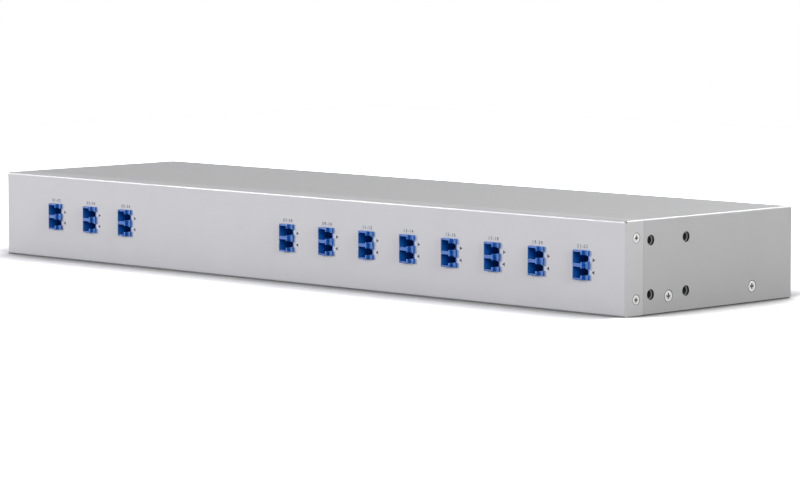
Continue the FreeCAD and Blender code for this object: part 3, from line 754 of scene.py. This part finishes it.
# %% [markdown]
# ## Writing shaders as sums
# A shader is a graph of nodes. Written as Python expressions it stays readable: one small class
# stands for a node's output, and adding or multiplying two of them adds the Math node for it.

# %% A node's output that can be calculated with
class Signal:
    """One output socket in a material's node tree."""

    def __init__(self, tree, socket):
        self.tree = tree
        self.socket = socket

    @classmethod
    def node(cls, tree, kind, sockets=None, settings=None, output=0):
        """A node of any type: its settings first, then the values or links of its sockets."""
        made = tree.nodes.new("ShaderNode" + kind)
        for name, value in (settings or {}).items():
            setattr(made, name, value)
        for key, value in (sockets or {}).items():
            if isinstance(value, Signal):
                tree.links.new(value.socket, made.inputs[key])
            else:
                made.inputs[key].default_value = value
        return cls(tree, made.outputs[output])

    def maths(self, operation, *values):
        """A Math node on up to three values."""
        return Signal.node(self.tree, "Math", dict(enumerate(values)), {"operation": operation})

    def __add__(self, other):
        return self.maths("ADD", self, other)

    def __radd__(self, other):
        return self.maths("ADD", other, self)

    def __sub__(self, other):
        return self.maths("SUBTRACT", self, other)

    def __rsub__(self, other):
        return self.maths("SUBTRACT", other, self)

    def __mul__(self, other):
        return self.maths("MULTIPLY", self, other)

    def __rmul__(self, other):
        return self.maths("MULTIPLY", other, self)

    def __pow__(self, other):
        return self.maths("POWER", self, other)

    def __abs__(self):
        return self.maths("ABSOLUTE", self)

    def __or__(self, other):
        return self.maths("MAXIMUM", self, other)


# %% [markdown]
# A colour is easiest to choose as it looks on a screen, but a shader calculates with light, so it is
# converted once. Two colours are mixed by a Mix node, because a Math node would turn them grey.

# %% Colours
def linear(red, green, blue):
    """A colour given as 0 to 255 on a screen, as the shader wants it, by the sRGB curve."""
    def one(value):
        value = value / 255
        return value / 12.92 if value <= 0.04045 else ((value + 0.055) / 1.055) ** 2.4
    return (one(red), one(green), one(blue), 1)


def blend(tree, factor, first, second):
    """A colour mixed from two: the Mix node has its colours at inputs 6 and 7 and output 2."""
    sockets = {0: factor, 6: first, 7: second}
    return Signal.node(tree, "Mix", sockets, {"data_type": "RGBA"}, output=2)


def lighter(colour, share):
    """A colour made lighter by a share, or darker where the share is below 0."""
    return tuple(min(1, part * (1 + share)) for part in colour[:3]) + (1,)


# %% [markdown]
# Painted steel, plated steel and plastic differ in colour, gloss and grain, but none is quite even.
# A picture could give that, but it would have to be unwrapped and would blur close up. Noise on
# Object coordinates needs no unwrapping and stays sharp: coarse clouds vary colour and gloss, and a
# fine grain gives relief.

# %% One finish
CLOUDS = 20 * MM
CLOUD_DETAIL = 3
GRAIN_DETAIL = 2
CLOUD_SHARE = 0.6
NOISE_MIDDLE = 0.5
GLOSS_CHANGE = 0.06


def object_place(tree):
    """Where a point lies on the object."""
    return Signal.node(tree, "TexCoord", output="Object")


def noise(tree, size, detail):
    """Cloudy noise whose blotches are about one size across, from 0 to 1."""
    place = Signal.node(tree, "Mapping", {"Vector": object_place(tree), "Scale": (1 / size,) * 3})
    return Signal.node(tree, "TexNoise", {"Vector": place, "Scale": 1, "Detail": detail})


def finish(name, colour, roughness, metallic=0, grain=0.5 * MM, depth=0.004 * MM, change=0.03,
           specular=0.5):
    """A surface with a fine grain in its relief and faint clouds in its colour and gloss."""
    material = bpy.data.materials.new(name)
    material.use_nodes = True
    tree = material.node_tree
    shader = tree.nodes["Principled BSDF"]
    shader.inputs["Metallic"].default_value = metallic
    shader.inputs["Specular IOR Level"].default_value = specular
    clouds = noise(tree, CLOUDS, CLOUD_DETAIL)
    fine = noise(tree, grain, GRAIN_DETAIL)
    mixed = blend(tree, clouds, lighter(colour, -change), lighter(colour, change))
    tree.links.new(mixed.socket, shader.inputs["Base Color"])
    waves = clouds * CLOUD_SHARE + fine * (1 - CLOUD_SHARE) - NOISE_MIDDLE
    gloss = roughness + GLOSS_CHANGE * waves
    tree.links.new(gloss.socket, shader.inputs["Roughness"])
    relief = Signal.node(tree, "Bump", {"Strength": 1.0, "Distance": depth, "Height": fine})
    tree.links.new(relief.socket, shader.inputs["Normal"])
    return material


# %% [markdown]
# ## The finishes
# The panel is a smooth silver-grey paint, the shell the same in a neutral grey. Screws are bright
# plated steel, nuts duller zinc, the adapters a half-gloss blue plastic. The pieces inside have
# finishes too, although the closed shell hides them. A look is a colour, a roughness and whatever
# else differs from a plain finish, so that one table shows them side by side.

# %% A finish for each slot of the object, for the inks and for the tapped nuts
painted = dict(grain=0.6 * MM, specular=0.1)
moulded = dict(grain=0.15 * MM, depth=0.002 * MM)
coarse = dict(grain=0.3 * MM, depth=0.01 * MM)
spongy = dict(grain=0.8 * MM, depth=0.1 * MM, change=0.2)
plated = dict(metallic=0.3, change=0.04, grain=0.2 * MM)
looks = {
    "panel_paint": (linear(196, 196, 197), 0.42, painted),
    "shell_paint": (linear(183, 183, 184), 0.42, painted),
    "zinc_steel": (linear(150, 152, 155), 0.45, dict(metallic=1, change=0.1)),
    "spring_steel": (linear(180, 180, 178), 0.3, dict(metallic=1, change=0.05)),
    "screw_steel": (linear(214, 214, 211), 0.4, plated),
    "filter_steel": (linear(205, 205, 205), 0.25, dict(metallic=1)),
    "adapter_blue": (linear(8, 88, 170), 0.35, moulded),
    "ceramic": (linear(236, 234, 228), 0.25, dict(grain=0.1 * MM)),
    "boot_white": (linear(228, 228, 226), 0.5, {}),
    "fibre_jacket": (linear(236, 196, 40), 0.45, {}),
    "module_plastic": (linear(38, 38, 40), 0.55, coarse),
    "foam": (linear(70, 70, 72), 0.9, spongy),
    "number_ink": (linear(62, 62, 68), 0.55, {}),
    "arrow_ink": (linear(12, 12, 13), 0.55, {}),
    # The tapped nuts are dark all over: painted shade for the threaded holes they sit behind.
    "tapped_steel": (linear(44, 44, 46), 0.4, dict(change=0.1, specular=0.2)),
}
finishes = {}
for name, (colour, roughness, rest) in looks.items():
    finishes[name] = finish(name, colour, roughness, **rest)
print(len(finishes), "finishes")

# %% [markdown]
# Shade is painted into the colour in a screw's seat and in a screw's cross recess, which get a darker
# colour, and in the threaded holes, whose nuts are dark all over. A lighter colour marks the thin ring
# at the step inside each nut's collar, as a painted highlight. These places could be separate pieces,
# but each lies at a known depth in the side wall. So a band on the Object coordinates finds it, and
# mixes in the painted colour there.

# %% Painted shade in seats, recesses and threads, and a painted highlight ring
# Painted light: a lighter ring on the dark nuts, and painted shade in screw recesses and seats.
RING_HIGHLIGHT_BAND = 0.1 * MM
RING_PAINTED_HIGHLIGHT = linear(140, 140, 138)
RECESS_SHADE_LIP = 0.15 * MM
RECESS_PAINTED_SHADE = linear(160, 160, 157)
SEAT_SHADE_LIP = 0.08 * MM
SEAT_PAINTED_SHADE = linear(105, 105, 107)


def axis_place(tree, axis):
    """Where a point lies along one axis of the object."""
    return Signal.node(tree, "SeparateXYZ", {"Vector": object_place(tree)}, output=axis)


def band(tree, axis, inner, outer):
    """1 between two distances from the middle plane across an axis, else 0."""
    away = abs(axis_place(tree, axis))
    return away.maths("COMPARE", away, (inner + outer) / 2, (outer - inner) / 2)


def painted_light_and_shade(name, colour, **bands):
    """Another colour, as painted shade or a painted highlight, where every band that is named by its
    axis holds.
    """
    tree = finishes[name].node_tree
    base = tree.nodes["Principled BSDF"].inputs["Base Color"]
    plain = Signal(tree, base.links[0].from_socket)
    within = math.prod(band(tree, axis, *reach) for axis, reach in bands.items())
    tree.links.new(blend(tree, within, plain, colour).socket, base)
    print(name, "toned by", *bands)


highlight_ring_x = SIDE - SHEET
# Painted highlight: a lighter ring at the step inside each nut's collar.
painted_light_and_shade("tapped_steel", RING_PAINTED_HIGHLIGHT, X=(highlight_ring_x - RING_HIGHLIGHT_BAND, highlight_ring_x + RING_HIGHLIGHT_BAND))
# Painted shade: each screw is darker everywhere deeper than just below its head's face, which shows in
# the cross recess.
painted_light_and_shade("screw_steel", RECESS_PAINTED_SHADE, X=(0, SIDE - SINK - RECESS_SHADE_LIP))
# Painted shade: within the side walls' thickness the screw seats and hole walls get a darker colour,
# clear of the upper and front folds.
seat = dict(X=(SIDE - SHEET, SIDE - SEAT_SHADE_LIP), Y=(0, -FRONT - BEND), Z=(0, TOP - BEND))
for paint in ("panel_paint", "shell_paint"):
    painted_light_and_shade(paint, SEAT_PAINTED_SHADE, **seat)

# %% [markdown]
# Along the upper folds the paint has drawn thin and smooth, and a bright line of reflected light
# runs there. A glossier paint all over would give it too, but would also mirror the lamps in the
# lid. So a clear coat lies on the round of the folds alone, thickest along the front.

# %% Gloss on the upper folds
FOLD_SHARE = 0.96
FOLD_GLOSS = 0.2
FOLD_IOR = 1.9
FRONT_COAT = 0.34
SIDE_COAT = 0.1


def glossy_folds(name):
    """A clear coat on the round of the upper folds alone, thickest along the front."""
    tree = finishes[name].node_tree
    shader = tree.nodes["Principled BSDF"]
    shader.inputs["Coat Roughness"].default_value = FOLD_GLOSS
    shader.inputs["Coat IOR"].default_value = FOLD_IOR
    fold = band(tree, "Z", TOP - FOLD_SHARE * BEND, TOP - (1 - FOLD_SHARE) * BEND)
    front = band(tree, "Y", -FRONT - BEND, -FRONT)
    coat = fold * (SIDE_COAT + (FRONT_COAT - SIDE_COAT) * front)
    tree.links.new(coat.socket, shader.inputs["Coat Weight"])
    print(name, "has glossy folds")


glossy_folds("panel_paint")
glossy_folds("shell_paint")

# %% [markdown]
# Every piece and every solid that still shows now gets its finish. The record names a slot for each
# solid, and each new piece was given one above, so nothing is chosen by hand except the inks and
# the tapped nuts, whose finishes are no slots of the object.

# %% Dressing every piece and every node that still shows
def dress(piece, material):
    """One finish all over a piece."""
    piece.data.materials.clear()
    piece.data.materials.append(material)


node_slots = {part["node"]: part["material_slot"] for part in frame["record"]["subparts"]}
for name, node in frame["nodes"].items():
    dress(node, finishes[node_slots[name]])
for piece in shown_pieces():
    if "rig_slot" in piece:
        dress(piece, finishes[piece["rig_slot"]])
dress(bpy.data.objects["port_numbers"], finishes["number_ink"])
dress(bpy.data.objects["flow_arrows"], finishes["arrow_ink"])
for word in ("right", "left"):
    dress(bpy.data.objects["tapped_nuts_" + word], finishes["tapped_steel"])

# %% [markdown]
# ## Studio
# The photograph is a plain packshot: white ground, soft light, and a tight shadow where the
# enclosure stands. The ground and the surroundings are white where the camera or a reflection sees
# them, and give a moderate light otherwise. As in a light tent with a dark ceiling, the walls of
# the surroundings are brighter than their zenith, so the lid stays darker than the front.

# %% White surroundings
HORIZON = 0.78
ZENITH = 0.08
WHITE = (1, 1, 1, 1)


def seen_directly(tree):
    """1 where the camera, a reflection or a view through something sees a surface, else 0."""
    camera_ray = Signal.node(tree, "LightPath", output="Is Camera Ray")
    glossy_ray = Signal.node(tree, "LightPath", output="Is Glossy Ray")
    through_ray = Signal.node(tree, "LightPath", output="Is Transmission Ray")
    return camera_ray | glossy_ray | through_ray


world = bpy.data.worlds.new("studio")
bpy.context.scene.world = world
world.use_nodes = True
tree = world.node_tree
direction = Signal.node(tree, "TexCoord", output="Generated")
height = Signal.node(tree, "SeparateXYZ", {"Vector": direction}, output="Z") | 0.0
ambient = HORIZON + (ZENITH - HORIZON) * height
strength = ambient + (1 - ambient) * seen_directly(tree)
sky = Signal.node(tree, "Background", {"Color": WHITE, "Strength": strength})
tree.links.new(sky.socket, tree.nodes["World Output"].inputs["Surface"])
print("surroundings give", HORIZON, "at the horizon and", ZENITH, "overhead")

# %% [markdown]
# The ground is paper. Close to the enclosure little light reaches it, and there an Ambient
# Occlusion node, which measures how much of the sky is hidden within a few centimetres, darkens it.
# The lamps alone would cast a wider and paler shadow than a packshot has. The shadow fades slowly
# along the front and fast past the right wall, where the second lamp stands.

# %% White ground with a contact shadow
FLOOR = 2.2
FLOOR_BOUNCE = 0.9
FLOOR_SEEN = 3.1
CONTACT = 40 * MM
CONTACT_TONE = 0.09
FOOT_OPEN = 0.5
SEEN_FADE = (0.58, 1.6)
BOUNCE_FADE = (1.0, 0.3)
FADE_TURN = 5 * MM


def grey(level):
    """A neutral colour."""
    return (level, level, level, 1)


def paper_shader(tree, level, fades):
    """A matt white that darkens towards the foot of whatever stands on it."""
    front, right = fades
    corner = {"From Min": SIDE - FADE_TURN, "From Max": SIDE + FADE_TURN}
    past_corner = Signal.node(tree, "MapRange", {"Value": axis_place(tree, "X"), **corner})
    fade = front + (right - front) * past_corner
    hidden = Signal.node(tree, "AmbientOcclusion", {"Distance": CONTACT}, output="AO")
    closed = (1 - hidden) * (1 / (1 - FOOT_OPEN))
    tone = blend(tree, 1 - closed ** fade, grey(level * CONTACT_TONE), grey(level))
    return Signal.node(tree, "BsdfDiffuse", {"Color": tone})


bpy.ops.object.select_all(action="DESELECT")
bpy.ops.mesh.primitive_plane_add(size=FLOOR)
floor = named("floor")
floor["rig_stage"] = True
paper = bpy.data.materials.new("paper")
paper.use_nodes = True
tree = paper.node_tree
bounce = paper_shader(tree, FLOOR_BOUNCE, BOUNCE_FADE)
seen = paper_shader(tree, FLOOR_SEEN, SEEN_FADE)
ground = Signal.node(tree, "MixShader", {0: seen_directly(tree), 1: bounce, 2: seen})
tree.links.new(ground.socket, tree.nodes["Material Output"].inputs["Surface"])
dress(floor, paper)
print("floor, mm:", in_mm(floor.dimensions))

# %% [markdown]
# Two soft lamps stand low, so that the upright faces get most of their light: the main one at the
# front left, far enough away to light the whole front evenly, and a weaker one at the right. A faint
# one behind keeps the rear from going dull. The bright lines along the upper folds are reflections
# of two panels that add only gloss, a weak one at the front left and a stronger one behind.

# %% Lamps
COOL = (1.0, 0.985, 1.06)
NEUTRAL = (1, 1, 1)
AIM = Vector((0, 0, 0.02))


def soft_lamp(name, place, size, power, gloss=True, fill=True, tint=NEUTRAL):
    """A square area lamp that faces the object, and gives gloss, an even fill or both."""
    lamp = bpy.data.lights.new(name, "AREA")
    lamp.size = size
    lamp.energy = power
    lamp.color = tint
    holder = bpy.data.objects.new(name, lamp)
    holder.location = place
    holder.rotation_euler = (AIM - Vector(place)).to_track_quat("-Z", "Y").to_euler()
    holder.visible_camera = False
    holder.visible_glossy = gloss
    holder.visible_diffuse = fill
    bpy.context.scene.collection.objects.link(holder)
    print(name, "watts:", power)


soft_lamp("front_lamp", place=(-3.8, -4.3, 1.5), size=2.4, power=222, tint=COOL)
soft_lamp("right_lamp", place=(2.55, -0.6, 0.75), size=1.0, power=30.8)
soft_lamp("rear_lamp", place=(-1.4, 2.6, 0.55), size=1.2, power=18, gloss=False)
soft_lamp("back_panel", place=(0.0, 1.6, 1.55), size=1.4, power=150, fill=False)
soft_lamp("left_panel", place=(-1.9, -1.45, 1.2), size=0.7, power=28, fill=False)

# %% [markdown]
# The camera stands where a fit of the enclosure's corners to the photograph puts it: at the front
# right, low, and with a long lens, so that the far end is hardly smaller than the near one.

# %% Camera at the photograph's angle
SENSOR = 36.0
FOCAL = 160.45
CAMERA_PLACE = (1.273, -1.276, 0.183)
CAMERA_WAY = Vector((-0.698, 0.710, -0.09145))
camera = bpy.data.objects.new("camera", bpy.data.cameras.new("camera"))
camera.data.sensor_width = SENSOR
camera.data.lens = FOCAL
camera.location = CAMERA_PLACE
camera.rotation_euler = CAMERA_WAY.to_track_quat("-Z", "Y").to_euler()
bpy.context.scene.collection.objects.link(camera)
bpy.context.scene.camera = camera
bpy.context.scene.view_settings.view_transform = "Standard"
print("camera, mm:", in_mm(camera.location))

# %% [markdown]
# ## The dressed size
# The dressed object's box is printed, to set beside the solids' box printed at the start.
# The dressed object has to keep to the solids' box.

# %% Sizes, and the end
low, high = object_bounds()
print("dressed, mm:", in_mm(high - low))
